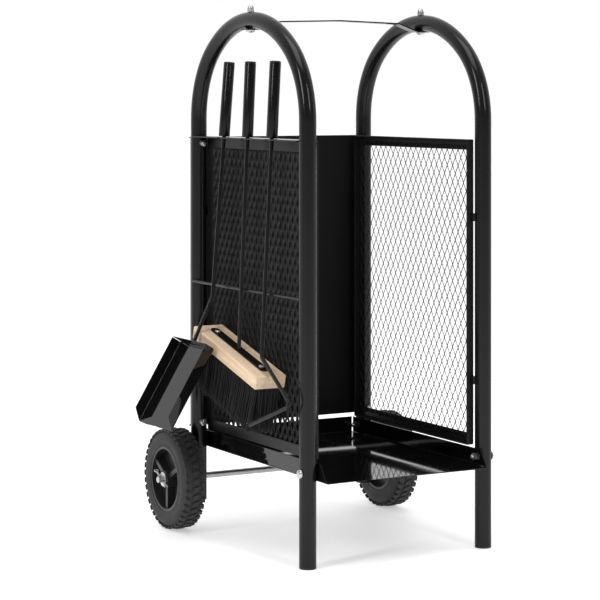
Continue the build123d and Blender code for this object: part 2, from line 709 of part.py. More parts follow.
# ---------------------------------------------------------------- labels, origin and files
pieces = {
    "left_arch": left_arch,
    "right_arch": right_arch,
    "front_foot_caps": front_foot_caps,
    "rear_leg_plugs": rear_leg_plugs,
    "left_mesh_frame": left_mesh_frame,
    "left_mesh": left_mesh,
    "right_mesh_frame": right_mesh_frame,
    "right_mesh": right_mesh,
    "mesh_frame_tabs": mesh_frame_tabs,
    "back_panel": back_panel,
    "log_tray": log_tray,
    "tool_ledge": tool_ledge,
    "tool_rest_bar": tool_rest_bar,
    "carry_strap": carry_strap,
    "tray_bolts": tray_bolts,
    "tray_nuts": tray_nuts,
    "panel_bolts": panel_bolts,
    "panel_nuts": panel_nuts,
    "strap_bolts": strap_bolts,
    "strap_nuts": strap_nuts,
    "axle": axle,
    "axle_washers": axle_washers,
    "split_pins": split_pins,
    "left_tyre": left_tyre,
    "left_wheel_hub": left_wheel_hub,
    "right_tyre": right_tyre,
    "right_wheel_hub": right_wheel_hub,
    "shovel_grip": shovel_grip,
    "shovel_grip_cap": shovel_grip_cap,
    "shovel_rod": shovel_rod,
    "shovel_pan": shovel_pan,
    "brush_grip": brush_grip,
    "brush_grip_cap": brush_grip_cap,
    "brush_rod": brush_rod,
    "brush_plate": brush_plate,
    "brush_screws": brush_screws,
    "brush_block": brush_block,
    "brush_bristles": brush_bristles,
    "poker_grip": poker_grip,
    "poker_grip_cap": poker_grip_cap,
    "poker_rod": poker_rod,
}

# The tools stand out further than the wheels, so the whole rack is moved sideways and along
# until its origin lies on the floor under the middle of its outer box.
outer_boxes = [piece.part.bounding_box() for piece in pieces.values()]
middle_x = (min(box.min.X for box in outer_boxes) + max(box.max.X for box in outer_boxes)) / 2
middle_y = (min(box.min.Y for box in outer_boxes) + max(box.max.Y for box in outer_boxes)) / 2
to_origin = Location((-middle_x, -middle_y, 0))

os.makedirs("parts", exist_ok=True)
for label, piece in pieces.items():
    piece.part.label = label
    piece.part.move(to_origin)
    export_step(piece.part, f"parts/{label}.step")
print(f"{len(pieces)} pieces; moved by {-middle_x:.3f}, {-middle_y:.3f}")
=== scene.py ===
# %% [markdown]
# # A firewood log rack with its fireside tools
# The rack is two bent black tubes with a folded tray, a back panel and two sides of expanded
# metal between them. It rolls on two wheels, and a shovel, a brush and a poker hang on its left.
# The design comes from CAD as a fixed frame, and these cells dress it: every piece sits where
# the frame says, and gets the shape, edges and finish that catch the light in real life.

# %% Load the frame
from math import cos, pi, radians, sin, sqrt, tan

import bmesh
import bpy
from mathutils import Matrix, Vector


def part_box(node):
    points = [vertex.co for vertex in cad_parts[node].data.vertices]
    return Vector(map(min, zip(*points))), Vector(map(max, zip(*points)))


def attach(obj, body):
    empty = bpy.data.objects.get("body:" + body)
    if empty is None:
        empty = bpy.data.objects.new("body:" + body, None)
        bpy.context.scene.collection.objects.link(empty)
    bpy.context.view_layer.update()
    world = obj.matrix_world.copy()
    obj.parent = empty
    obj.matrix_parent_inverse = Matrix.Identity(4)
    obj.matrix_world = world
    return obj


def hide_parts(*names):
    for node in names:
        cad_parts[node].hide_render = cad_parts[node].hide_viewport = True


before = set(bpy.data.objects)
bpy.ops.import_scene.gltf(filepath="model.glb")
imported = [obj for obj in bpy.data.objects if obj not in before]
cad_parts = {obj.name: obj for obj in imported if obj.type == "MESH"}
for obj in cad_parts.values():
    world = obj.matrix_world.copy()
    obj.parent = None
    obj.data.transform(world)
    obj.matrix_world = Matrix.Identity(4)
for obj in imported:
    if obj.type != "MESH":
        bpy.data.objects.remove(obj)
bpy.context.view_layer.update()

# %% [markdown]
# ## Where things are
# Boxes of the CAD nodes give every place. The two tubes set the middle of the rack, which is not
# the origin, because the tools stand out further than the wheels.

# %% Measure the frame
left_low, left_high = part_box("left_arch")
right_low, right_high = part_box("right_arch")
tube_radius = (left_high.x - left_low.x) / 2
left_x = (left_low.x + left_high.x) / 2
right_x = (right_low.x + right_high.x) / 2
front_y = left_low.y + tube_radius
rear_y = left_high.y - tube_radius
mid_x = (left_x + right_x) / 2
mid_y = (front_y + rear_y) / 2
half_depth = (rear_y - front_y) / 2
tube_top = left_high.z
floor_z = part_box("front_foot_caps")[0].z
print("tube radius", round(tube_radius, 4), "legs at y", round(front_y, 4), round(rear_y, 4))

# %% [markdown]
# ## Camera, floor and light
# The rack is seen from its front left corner, a little above its middle, with a long lens held
# level, so that its legs stay upright. Glossy black metal shows its surroundings more than its
# own colour, so the light is built as in a studio: white all round behind the rack, darker
# behind the camera, and soft boxes set high, which draw crisp highlights on the bends.

# %% New objects
def new_piece(name, mesh, material=None):
    piece = bpy.data.objects.new(name, mesh)
    bpy.context.scene.collection.objects.link(piece)
    if material:
        mesh.materials.clear()
        mesh.materials.append(material)
    return piece


# %% Camera
LENS = 130.28                     # millimetres, on a 36 mm sensor
CAMERA_BACK = Vector((-1.6618, -2.8796))   # from the middle of the rack
CAMERA_HEIGHT = 0.6835
CAMERA_TURN = radians(29.0)       # to the right of straight ahead
FRAMING = -0.3508                 # how far the level picture is shifted down

camera = new_piece("camera", bpy.data.cameras.new("camera"))
camera.location = (mid_x + CAMERA_BACK.x, mid_y + CAMERA_BACK.y, CAMERA_HEIGHT)
camera.rotation_euler = (pi / 2, 0, -CAMERA_TURN)
camera.data.sensor_width = 36
camera.data.lens = LENS
camera.data.shift_y = FRAMING
bpy.context.scene.camera = camera


# %% Materials and nodes
def new_material(name):
    material = bpy.data.materials.new(name)
    material.use_nodes = True
    return material, material.node_tree, material.node_tree.nodes["Principled BSDF"]


def wire(tree, node, inputs):
    """Links or sets a node's inputs. A node given as a value stands for its first output."""
    for name, value in inputs.items():
        if isinstance(value, bpy.types.Node):
            value = value.outputs[0]
        if isinstance(value, bpy.types.NodeSocket):
            tree.links.new(value, node.inputs[name])
        else:
            node.inputs[name].default_value = value


def add_node(tree, kind, inputs=None, **settings):
    made = tree.nodes.new(kind)
    for name, value in settings.items():
        setattr(made, name, value)
    wire(tree, made, inputs or {})
    return made


# %% Surroundings: white behind the rack, darker behind the camera
world = bpy.data.worlds.new("studio")
bpy.context.scene.world = world
world.use_nodes = True
sky = world.node_tree
sky.nodes.clear()
direction = add_node(sky, "ShaderNodeTexCoord").outputs["Generated"]
behind = (sin(CAMERA_TURN), cos(CAMERA_TURN), 0)
ahead = add_node(sky, "ShaderNodeVectorMath", {0: direction, 1: behind}, operation="DOT_PRODUCT")
spread = add_node(sky, "ShaderNodeMapRange", {"Value": ahead.outputs["Value"], "From Min": -0.55,
                  "From Max": 0.45, "To Min": 0.16, "To Max": 1.0}, interpolation_type="SMOOTHSTEP")
glow = add_node(sky, "ShaderNodeBackground", {"Color": (1, 1, 1, 1), "Strength": spread})
add_node(sky, "ShaderNodeOutputWorld", {"Surface": glow})


# %% Soft boxes
def soft_box(name, place, target, width, height, power):
    lamp = bpy.data.lights.new(name, "AREA")
    lamp.shape = "RECTANGLE"
    lamp.size, lamp.size_y, lamp.energy = width, height, power
    holder = new_piece(name, lamp)
    holder.location = place
    aim = Vector(target) - Vector(place)
    holder.rotation_euler = aim.to_track_quat("-Z", "Y").to_euler()
    return holder


rack_middle = (mid_x, mid_y, 0.4)
soft_box("left_box", (-2.7, -0.9, 2.0), rack_middle, 0.35, 1.7, 34)
soft_box("front_box", (0.2, -3.2, 2.1), rack_middle, 0.35, 1.7, 26)
soft_box("top_box", (-0.3, -0.5, 2.9), rack_middle, 1.6, 1.6, 30)

# %% Floor
ground = bpy.data.meshes.new("floor")
ground.from_pydata([(-30, -30, floor_z), (30, -30, floor_z), (30, 30, floor_z), (-30, 30, floor_z)],
                   [], [(0, 1, 2, 3)])
pale, pale_tree, pale_shader = new_material("pale_floor")
wire(pale_tree, pale_shader, {"Base Color": (0.93, 0.93, 0.93, 1), "Roughness": 0.55,
                              "Emission Color": (1, 1, 1, 1), "Emission Strength": 0.42})
new_piece("floor", ground, pale)
bpy.context.scene.view_settings.view_transform = "Standard"
bpy.context.scene.view_settings.look = "None"

# %% [markdown]
# ## Finishes
# No real surface is one flat colour. Each finish below starts from the same few nodes: noise on
# the object's own coordinates varies the colour and the roughness a little, and a finer noise
# bumps the surface. Only the scales and amounts differ, so one helper makes them, and each
# finish says what is special about it.


# %% The helper that all finishes share
def mottled(name, dark, light, rough, patch, grain, bump, metallic=0.0, specular=0.5):
    """A material whose colour and roughness drift over patches, with a fine bump on top.

    patch and grain are noise scales, in cycles per metre, and bump is a height in metres.
    """
    material, tree, shader = new_material(name)
    where = add_node(tree, "ShaderNodeTexCoord").outputs["Object"]
    drift = add_node(tree, "ShaderNodeTexNoise", {"Vector": where, "Scale": patch, "Detail": 3.0})
    # the Mix node has one set of sockets for each data type, and the colour ones are 6 and 7
    colour = add_node(tree, "ShaderNodeMix", {"Factor": drift}, data_type="RGBA")
    wire(tree, colour, {6: (*dark, 1), 7: (*light, 1)})
    shine = add_node(tree, "ShaderNodeMapRange", {"Value": drift, "From Min": 0.3, "From Max": 0.7,
                     "To Min": rough[0], "To Max": rough[1]})
    fine = add_node(tree, "ShaderNodeTexNoise", {"Vector": where, "Scale": grain, "Detail": 2.0})
    relief = add_node(tree, "ShaderNodeBump", {"Height": fine, "Distance": bump, "Strength": 1.0})
    wire(tree, shader, {"Base Color": colour.outputs[2], "Roughness": shine, "Normal": relief,
                        "Metallic": metallic, "Specular IOR Level": specular})
    return material


# %% [markdown]
# Powder coat is sprayed as dust and melted on in an oven. It levels out to a gloss with a faint
# orange peel, a ripple a few millimetres wide, which breaks up the edges of reflections. The
# tray and the pan are glossier than the tubes, and the back panel is duller.

# %% Black paints
powder_coat = mottled("black_powder_coat", (0.0045, 0.0045, 0.005), (0.008, 0.008, 0.0085),
                      (0.15, 0.22), 9, 330, 0.00002, specular=0.24)
gloss_sheet = mottled("glossy_black_sheet", (0.003, 0.003, 0.0035), (0.006, 0.006, 0.0065),
                      (0.03, 0.07), 6, 40, 0.000012, specular=0.36)
dull_sheet = mottled("dull_black_sheet", (0.006, 0.006, 0.0065), (0.009, 0.009, 0.0095), (0.42, 0.52),
                     8, 500, 0.00002, specular=0.12)
satin_steel = mottled("satin_black_steel", (0.006, 0.006, 0.0065), (0.012, 0.012, 0.0125), (0.3, 0.4),
                      14, 600, 0.00003, specular=0.2)

# %% [markdown]
# Bright zinc plating is nearly white metal with a little yellow and blue in its patches. The
# axle is plain plated bar, duller than the small fasteners.

# %% Metals, plastics and rubber
bright_zinc = mottled("bright_zinc", (0.44, 0.46, 0.48), (0.62, 0.62, 0.59), (0.22, 0.38), 120, 1400,
                      0.00002, metallic=1.0)
zinc_bar = mottled("zinc_bar", (0.42, 0.43, 0.45), (0.6, 0.6, 0.6), (0.28, 0.42), 40, 900, 0.00003,
                   metallic=1.0)
black_plastic = mottled("black_plastic", (0.009, 0.009, 0.0095), (0.014, 0.014, 0.0145), (0.36, 0.48),
                        30, 1500, 0.00004, specular=0.4)
hub_plastic = mottled("hub_plastic", (0.012, 0.012, 0.0125), (0.02, 0.02, 0.0205), (0.34, 0.46), 24,
                      1300, 0.00004, specular=0.45)
tyre_rubber = mottled("tyre_rubber", (0.022, 0.022, 0.0225), (0.042, 0.041, 0.04), (0.62, 0.82), 45,
                      1100, 0.0001, specular=0.4)
bristle_fibre = mottled("black_bristle", (0.003, 0.003, 0.003), (0.008, 0.0075, 0.0075),
                        (0.4, 0.55), 160, 900, 0.00002, specular=0.35)

# %% [markdown]
# The brush's block is pale beech. Its grain runs along the block, and short dark flecks, the
# rays of the wood, lie between the lines. The block is tilted, so the coordinates are first
# measured along the block, across it and through it, and the noise is stretched lengthwise.

# %% Beech
BLOCK_TILT = radians(15)
block_along = Vector((0, -cos(BLOCK_TILT), -sin(BLOCK_TILT)))
block_up = Vector((0, -sin(BLOCK_TILT), cos(BLOCK_TILT)))


def beech_wood():
    material, tree, shader = new_material("beech")
    where = add_node(tree, "ShaderNodeTexCoord").outputs["Object"]
    lengthwise = add_node(tree, "ShaderNodeVectorMath", {0: where, 1: block_along},
                          operation="DOT_PRODUCT")
    upwards = add_node(tree, "ShaderNodeVectorMath", {0: where, 1: block_up},
                       operation="DOT_PRODUCT")
    sideways = add_node(tree, "ShaderNodeSeparateXYZ", {"Vector": where})
    in_wood = add_node(tree, "ShaderNodeCombineXYZ", {"X": lengthwise.outputs["Value"],
                       "Y": sideways.outputs["X"], "Z": upwards.outputs["Value"]})
    stretched = add_node(tree, "ShaderNodeMapping", {"Vector": in_wood, "Scale": (1.6, 26, 26)})
    rings = add_node(tree, "ShaderNodeTexNoise", {"Vector": stretched, "Scale": 5.5, "Detail": 5.0,
                     "Roughness": 0.55, "Distortion": 0.35})
    tones = add_node(tree, "ShaderNodeValToRGB", {"Fac": rings})
    tones.color_ramp.elements[0].position = 0.32
    tones.color_ramp.elements[0].color = (0.66, 0.46, 0.29, 1)
    tones.color_ramp.elements[1].position = 0.66
    tones.color_ramp.elements[1].color = (0.87, 0.69, 0.49, 1)
    short = add_node(tree, "ShaderNodeMapping", {"Vector": in_wood, "Scale": (14, 110, 110)})
    rays = add_node(tree, "ShaderNodeTexNoise", {"Vector": short, "Scale": 9.0, "Detail": 1.0})
    fleck = add_node(tree, "ShaderNodeMapRange", {"Value": rays, "From Min": 0.62, "From Max": 0.72,
                     "To Min": 0.0, "To Max": 0.35})
    mixed = add_node(tree, "ShaderNodeMix", {"Factor": fleck}, data_type="RGBA")
    wire(tree, mixed, {6: tones, 7: (0.36, 0.2, 0.105, 1)})
    shine = add_node(tree, "ShaderNodeMapRange", {"Value": rings, "To Min": 0.62, "To Max": 0.46})
    relief = add_node(tree, "ShaderNodeBump", {"Height": rings, "Distance": 0.00012,
                      "Strength": 0.6})
    wire(tree, shader, {"Base Color": mixed.outputs[2], "Roughness": shine, "Normal": relief})
    return material


beech = beech_wood()

# %% [markdown]
# ## Tools for making pieces
# Four ways of making a shape cover the whole rack. A CAD piece whose form is right is copied
# and given small rounded edges. A tube or rod is swept along its line by Geometry Nodes. What
# repeats is one small shape, instanced by Geometry Nodes. The rest is built point by point.


# %% What a piece says to the frame, and the softened copy of a CAD piece
def dress(piece, body, node):
    """Says which body a piece rides on and which CAD node it replaces."""
    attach(piece, body)
    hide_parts(node)


def finished(shape, name):
    """The mesh of what was built point by point, with its faces turned outwards."""
    bmesh.ops.recalc_face_normals(shape, faces=shape.faces)
    mesh = bpy.data.meshes.new(name)
    shape.to_mesh(mesh)
    shape.free()
    return mesh


def plain_mesh(piece):
    """Turns an object with modifiers into one with its finished mesh and no modifiers."""
    graph = bpy.context.evaluated_depsgraph_get()
    mesh = bpy.data.meshes.new_from_object(piece.evaluated_get(graph), depsgraph=graph)
    name = piece.name
    bpy.data.objects.remove(piece)
    mesh.name = name
    return new_piece(name, mesh)


def smooth_by_angle(mesh, degrees):
    """Shades the faces smooth and marks every edge sharper than the angle."""
    shape = bmesh.new()
    shape.from_mesh(mesh)
    for face in shape.faces:
        face.smooth = True
    for edge in shape.edges:
        edge.smooth = not (edge.is_manifold and edge.calc_face_angle(0) > radians(degrees))
    shape.to_mesh(mesh)
    shape.free()


def even_shading(piece, degrees=40):
    """Shades smooth, but lets the large flat faces keep their own direction."""
    smooth_by_angle(piece.data, degrees)
    weights = piece.modifiers.new("weights", "WEIGHTED_NORMAL")
    weights.keep_sharp = True
    return plain_mesh(piece)


def rounded(piece, edge, segments, angle):
    """Rounds the edges sharper than the angle, and shades the piece evenly."""
    rounding = piece.modifiers.new("rounding", "BEVEL")
    rounding.width, rounding.segments = edge, segments
    rounding.limit_method, rounding.angle_limit = "ANGLE", radians(angle)
    return even_shading(plain_mesh(piece))


def softened(node, name, material, edge, segments=2, angle=35):
    """A copy of a CAD node, merged, with its edges rounded, in a new finish."""
    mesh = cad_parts[node].data.copy()
    shape = bmesh.new()
    shape.from_mesh(mesh)
    bmesh.ops.remove_doubles(shape, verts=shape.verts, dist=0.000005)
    bmesh.ops.dissolve_limit(shape, angle_limit=radians(0.5), verts=shape.verts, edges=shape.edges)
    shape.to_mesh(mesh)
    shape.free()
    return rounded(new_piece(name, mesh, material), edge, segments, angle)


# %% [markdown]
# ### Geometry Nodes trees
# A tree is built once and used by many pieces. Its inputs have names, but a modifier's values
# are set by each input's identifier, so a helper looks that up.


# %% Trees, and running one
def new_tree(name, inputs):
    """An empty geometry tree with a geometry input and output and the named extra inputs."""
    tree = bpy.data.node_groups.new(name, "GeometryNodeTree")
    tree.interface.new_socket("Geometry", in_out="INPUT", socket_type="NodeSocketGeometry")
    for label, kind in inputs:
        tree.interface.new_socket(label, in_out="INPUT", socket_type=kind)
    tree.interface.new_socket("Geometry", in_out="OUTPUT", socket_type="NodeSocketGeometry")
    return tree, tree.nodes.new("NodeGroupInput").outputs, tree.nodes.new("NodeGroupOutput").inputs


def maths(tree, operation, *values):
    """The output of a maths node that works on one or two numbers."""
    return add_node(tree, "ShaderNodeMath", dict(enumerate(values)), operation=operation).outputs[0]


def finish_tree(tree, geometry, given, result):
    """Ends a tree: instances become real faces, and the faces get their material."""
    real = add_node(tree, "GeometryNodeRealizeInstances", {"Geometry": geometry})
    smooth = add_node(tree, "GeometryNodeSetShadeSmooth", {"Geometry": real})
    painted = add_node(tree, "GeometryNodeSetMaterial", {"Geometry": smooth,
                       "Material": given["Material"]})
    tree.links.new(painted.outputs["Geometry"], result["Geometry"])


def run_tree(tree, name, mesh, values, angle=40):
    """Runs a tree on a mesh and returns the result as a plain mesh object."""
    piece = new_piece(name, mesh)
    modifier = piece.modifiers.new("nodes", "NODES")
    modifier.node_group = tree
    for item in tree.interface.items_tree:
        if item.in_out == "INPUT" and item.name in values:
            modifier[item.identifier] = values[item.name]
    piece = plain_mesh(piece)
    smooth_by_angle(piece.data, angle)
    return piece


# %% The tree that sweeps a round rod along a line
ROD_INPUTS = [("Radius", "NodeSocketFloat"), ("Sides", "NodeSocketInt"),
              ("Material", "NodeSocketMaterial")]
rod_tree, given, result = new_tree("rod_along_line", ROD_INPUTS)
line = add_node(rod_tree, "GeometryNodeMeshToCurve", {"Mesh": given["Geometry"]})
ring = add_node(rod_tree, "GeometryNodeCurvePrimitiveCircle", {"Resolution": given["Sides"],
                "Radius": given["Radius"]})
swept = add_node(rod_tree, "GeometryNodeCurveToMesh", {"Curve": line, "Profile Curve": ring,
                 "Fill Caps": True})
finish_tree(rod_tree, swept, given, result)


def line_mesh(name, points):
    mesh = bpy.data.meshes.new(name)
    mesh.from_pydata([tuple(p) for p in points], [(i, i + 1) for i in range(len(points) - 1)], [])
    return mesh


def rod_piece(name, points, radius, material, sides=24):
    values = {"Radius": radius, "Sides": sides, "Material": material}
    return run_tree(rod_tree, name, line_mesh(name, points), values)


def rounded_route(points, radii, steps=10):
    """The points of straight runs joined by arcs, one radius for each inner corner."""
    route = [Vector(points[0])]
    for before, corner, after, radius in zip(points, points[1:], points[2:], radii):
        corner = Vector(corner)
        back = (Vector(before) - corner).normalized()
        on = (Vector(after) - corner).normalized()
        half = back.angle(on) / 2
        centre = corner + (back + on).normalized() * (radius / sin(half))
        start = corner + back * (radius / tan(half)) - centre
        end = corner + on * (radius / tan(half)) - centre
        turn = start.angle(end)
        for step in range(steps + 1):
            share = step / steps
            arm = start * sin((1 - share) * turn) + end * sin(share * turn)
            route.append(centre + arm / sin(turn))
    route.append(Vector(points[-1]))
    return route


# %% The tree that sets one small part on many marked points
PART_INPUTS = [("Part", "NodeSocketObject"), ("Material", "NodeSocketMaterial")]
part_tree, given, result = new_tree("part_on_points", PART_INPUTS)
pattern = add_node(part_tree, "GeometryNodeObjectInfo", {"Object": given["Part"]})
facing = add_node(part_tree, "GeometryNodeInputNamedAttribute", {"Name": "facing"},
                  data_type="FLOAT_VECTOR")
upright = add_node(part_tree, "FunctionNodeAlignRotationToVector", {"Vector": facing}, axis="Z")
placed = add_node(part_tree, "GeometryNodeInstanceOnPoints", {"Points": given["Geometry"],
                  "Instance": pattern.outputs["Geometry"], "Rotation": upright})
finish_tree(part_tree, placed, given, result)


def parts_at(name, pattern_mesh, places, material, angle=30):
    """One copy of a pattern, whose own axis is Z, at each place and along each direction."""
    holder = new_piece(name + "_pattern", pattern_mesh)
    marks = bpy.data.meshes.new(name)
    marks.from_pydata([tuple(place) for place, along in places], [], [])
    store = marks.attributes.new("facing", "FLOAT_VECTOR", "POINT")
    for index, (place, along) in enumerate(places):
        store.data[index].vector = along
    piece = run_tree(part_tree, name, marks, {"Part": holder, "Material": material}, angle)
    bpy.data.objects.remove(holder)
    return piece


# %% Turned shapes: a profile of (radius, height) points, spun about Z
def turned_mesh(name, profile, sides=32):
    shape = bmesh.new()
    rings = []
    for radius, height in profile:
        if radius == 0:
            rings.append([shape.verts.new((0, 0, height))])
            continue
        turns = [2 * pi * step / sides for step in range(sides)]
        rings.append([shape.verts.new((radius * cos(t), radius * sin(t), height)) for t in turns])
    for low, high in zip(rings, rings[1:]):
        for step in range(sides):
            after = (step + 1) % sides
            corners = [low[step % len(low)], low[after % len(low)], high[after % len(high)],
                       high[step % len(high)]]
            unique = list(dict.fromkeys(corners))
            if len(unique) > 2:
                shape.faces.new(unique)
    return finished(shape, name)


# %% [markdown]
# ## The bent tubes
# Each side of the rack is one tube, bent at both shoulders and gently over the top. A bent tube
# is a circle swept along a line of straight legs and three arcs, so its line is worked out from
# the arcs' radii, and the rod tree does the rest.

# %% Bent tubes
ARCH_RISE = 0.150
SHOULDER_TURN = radians(50)
cap_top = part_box("front_foot_caps")[0].z + 0.003
turn_share = (1 - sin(SHOULDER_TURN)) / cos(SHOULDER_TURN)
shoulder_radius = (ARCH_RISE - half_depth * turn_share) / (1 - turn_share)
shoulder_reach = half_depth - shoulder_radius
crown_radius = shoulder_radius + shoulder_reach / cos(SHOULDER_TURN)
spring_z = tube_top - tube_radius - ARCH_RISE
plug_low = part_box("rear_leg_plugs")[0]


def arch_line(x):
    """The tube's centreline: up the front leg, over three arcs and down the rear leg."""
    shoulder = []
    for step in range(15):
        turn = SHOULDER_TURN * step / 14
        shoulder.append((shoulder_reach + shoulder_radius * cos(turn),
                         spring_z + shoulder_radius * sin(turn)))
    crown_centre = tube_top - tube_radius - crown_radius
    crown = []
    for step in range(1, 24):
        turn = SHOULDER_TURN + (pi - 2 * SHOULDER_TURN) * step / 24
        crown.append((crown_radius * cos(turn), crown_centre + crown_radius * sin(turn)))
    front = [(-y, z) for y, z in shoulder]
    back = shoulder[::-1]
    over = [(-half_depth, cap_top)] + front + [(-y, z) for y, z in crown] + back
    over += [(half_depth, plug_low.z + 0.003)]
    return [(x, mid_y + y, z) for y, z in over]


for side, x in (("left", left_x), ("right", right_x)):
    bent_tube = rod_piece(side + "_bent_tube", arch_line(x), tube_radius, powder_coat, sides=48)
    dress(bent_tube, "frame", side + "_arch")
print("tubes bent with radii", round(shoulder_radius, 4), round(crown_radius, 4))

# %% [markdown]
# Plastic caps close the four tube ends. They are simple turned parts, so the CAD shape is right,
# and a rounded rim is all that they need.

# %% Foot caps and plugs
for node in ("front_foot_caps", "rear_leg_plugs"):
    dress(softened(node, node + "_moulded", black_plastic, 0.0008), "frame", node)

# %% [markdown]
# ## The sides of expanded metal
# Expanded metal is a sheet that is slit and pulled open. Its strands twist as it opens, so each
# lies at an angle to the sheet, and a thick knot stays where two strands meet. That twist is
# why such a panel glitters when the light is behind you. One knot with its four half strands is
# built here, and a tree repeats it over two grids, the second moved on by half a step. The sheet
# on the left faces the other way from the one on the right, so from one side of the rack one
# sheet looks nearly shut, like a closed louvre, and the other wide open.

# %% One knot of the mesh
MESH_ACROSS = 0.015               # from diamond to diamond, across the panel
MESH_UP = 0.025                   # and up the panel
STRAND_WIDE = 0.0030
STRAND_THICK = 0.0009
STRAND_TWIST = radians(38)


def knot_mesh(twist):
    """A knot and its four half strands, in a plane with X across the panel and Y up it."""
    shape = bmesh.new()
    face = Vector((sin(twist), 0, cos(twist)))

    def bar(start, end, wide):
        along = (end - start).normalized()
        flat = face.cross(along).normalized() * wide / 2
        thick = along.cross(flat).normalized() * STRAND_THICK / 2
        ends = []
        for place in (start, end):
            ends.append([shape.verts.new(place + flat * a + thick * b)
                         for a, b in ((-1, -1), (1, -1), (1, 1), (-1, 1))])
        for step in range(4):
            after = (step + 1) % 4
            shape.faces.new((ends[0][step], ends[0][after], ends[1][after], ends[1][step]))
        shape.faces.new(ends[0][::-1])
        shape.faces.new(ends[1])

    for across in (-1, 1):
        for up in (-1, 1):
            away = Vector((across * MESH_ACROSS / 4, up * MESH_UP / 4, 0))
            root = Vector((across * 0.0004, up * 0.0008, 0))
            bar(root, away * 1.02, STRAND_WIDE)
    bar(Vector((0, -0.0024, 0)), Vector((0, 0.0024, 0)), STRAND_WIDE * 1.3)
    return finished(shape, "mesh_knot")


# %% The tree that repeats the knot
MESH_INPUTS = [("Columns", "NodeSocketInt"), ("Rows", "NodeSocketInt"),
               ("Across", "NodeSocketFloat"), ("Up", "NodeSocketFloat"),
               ("Centre", "NodeSocketVector"), ("Material", "NodeSocketMaterial")]
mesh_tree, given, result = new_tree("expanded_metal", MESH_INPUTS)


def knot_grid(more, name):
    """A grid of points, with one column and one row more or less than the inputs say."""
    sizes = []
    for count, pitch in (("Columns", "Across"), ("Rows", "Up")):
        number = maths(mesh_tree, "ADD", given[count], float(more))
        gaps = maths(mesh_tree, "ADD", number, -1.0)
        sizes += [number, maths(mesh_tree, "MULTIPLY", gaps, given[pitch])]
    grid = add_node(mesh_tree, "GeometryNodeMeshGrid", {"Vertices X": sizes[0], "Size X": sizes[1],
                    "Vertices Y": sizes[2], "Size Y": sizes[3]})
    grid.label = name
    return grid.outputs["Mesh"]


both = add_node(mesh_tree, "GeometryNodeJoinGeometry")
mesh_tree.links.new(knot_grid(0, "inner points"), both.inputs["Geometry"])
mesh_tree.links.new(knot_grid(1, "outer points"), both.inputs["Geometry"])
knots = add_node(mesh_tree, "GeometryNodeInstanceOnPoints", {"Points": both,
                 "Instance": given["Geometry"]})
stood = add_node(mesh_tree, "GeometryNodeTransform", {"Geometry": knots,
                 "Translation": given["Centre"], "Rotation": (pi / 2, 0, pi / 2)})
finish_tree(mesh_tree, stood, given, result)

# %% Both sides, with their frames of angle bar
for side in ("left", "right"):
    low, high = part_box(side + "_mesh")
    columns = int((high.y - low.y - 0.006) / MESH_ACROSS)
    rows = int((high.z - low.z - 0.006) / MESH_UP)
    values = {"Columns": columns, "Rows": rows, "Across": MESH_ACROSS, "Up": MESH_UP,
              "Centre": (low + high) / 2, "Material": satin_steel}
    twist = STRAND_TWIST if side == "left" else -STRAND_TWIST
    expanded = run_tree(mesh_tree, side + "_expanded_metal", knot_mesh(twist), values, angle=30)
    dress(expanded, "frame", side + "_mesh")
    print(side, "mesh:", columns, "by", rows, "diamonds,", len(expanded.data.polygons), "faces")
    dress(softened(side + "_mesh_frame", side + "_angle_bars", satin_steel, 0.0005), "frame",
          side + "_mesh_frame")

# %% [markdown]
# ## Folded sheet
# The tray and the shovel's pan are the same kind of thing: sheet steel with two side lips and a
# rear lip folded up. A fold is never a sharp edge. The sheet bends round a small radius, and
# that radius draws a bright line along every fold. So the sheet is built as a thin skin with
# true bends and then gets its thickness.


# %% A folded tray, from its own measures
def folded_tray(name, corner, along, up, length, width, lip, slant, sheet, bend, material):
    """A skin with two side lips and a rear lip, all bent up round a radius.

    corner is the middle of the rear bottom edge, along runs to the open end, up stands up the lips.
    """
    across = along.cross(up)
    shape = bmesh.new()
    steps = 6
    half = width / 2

    def at(s, x, h):
        return shape.verts.new(corner + along * s + across * x + up * h)

    def section():
        """The cross-section's points as (x, h), from one lip's top to the other's."""
        points = [(-half, lip), (-half, bend + (lip - bend) * 0.5)]
        for step in range(steps + 1):
            turn = pi / 2 * step / steps
            points.append((-half + bend * (1 - cos(turn)), bend * (1 - sin(turn))))
        for share in (0.25, 0.5, 0.75):
            points.append((-half + bend + (width - 2 * bend) * share, 0.0))
        mirrored = [(-x, h) for x, h in points[:-2]][::-1]
        return points + mirrored

    profile = section()
    rows = []
    stations = [sheet, bend + sheet, length * 0.35, length * 0.7]
    for s in stations:
        rows.append([at(s, x, h) for x, h in profile])
    rows.append([at(length - slant * h / lip, x, h) for x, h in profile])
    for one, two in zip(rows, rows[1:]):
        for a, b, c, d in zip(one, one[1:], two[1:], two):
            shape.faces.new((a, b, c, d))
    inside = half - sheet * 1.4
    back = []
    for x in (-inside, -inside / 2, 0, inside / 2, inside):
        column = [at(0, x, lip), at(0, x, bend + (lip - bend) / 2)]
        for step in range(steps + 1):
            turn = pi / 2 * step / steps
            column.append(at(bend * (1 - cos(turn)), x, bend * (1 - sin(turn))))
        column.append(at(bend + sheet, x, 0.00002))
        back.append(column)
    for one, two in zip(back, back[1:]):
        for a, b, c, d in zip(one, two, two[1:], one[1:]):
            shape.faces.new((a, b, c, d))
    return new_piece(name, finished(shape, name), material)


def thickened(piece, sheet, edge):
    """Gives a skin its thickness, half to each side, and rounds the cut edges."""
    wall = piece.modifiers.new("wall", "SOLIDIFY")
    wall.thickness = sheet
    wall.offset = 0
    wall.use_even_offset = True
    return rounded(piece, edge, 2, 50)


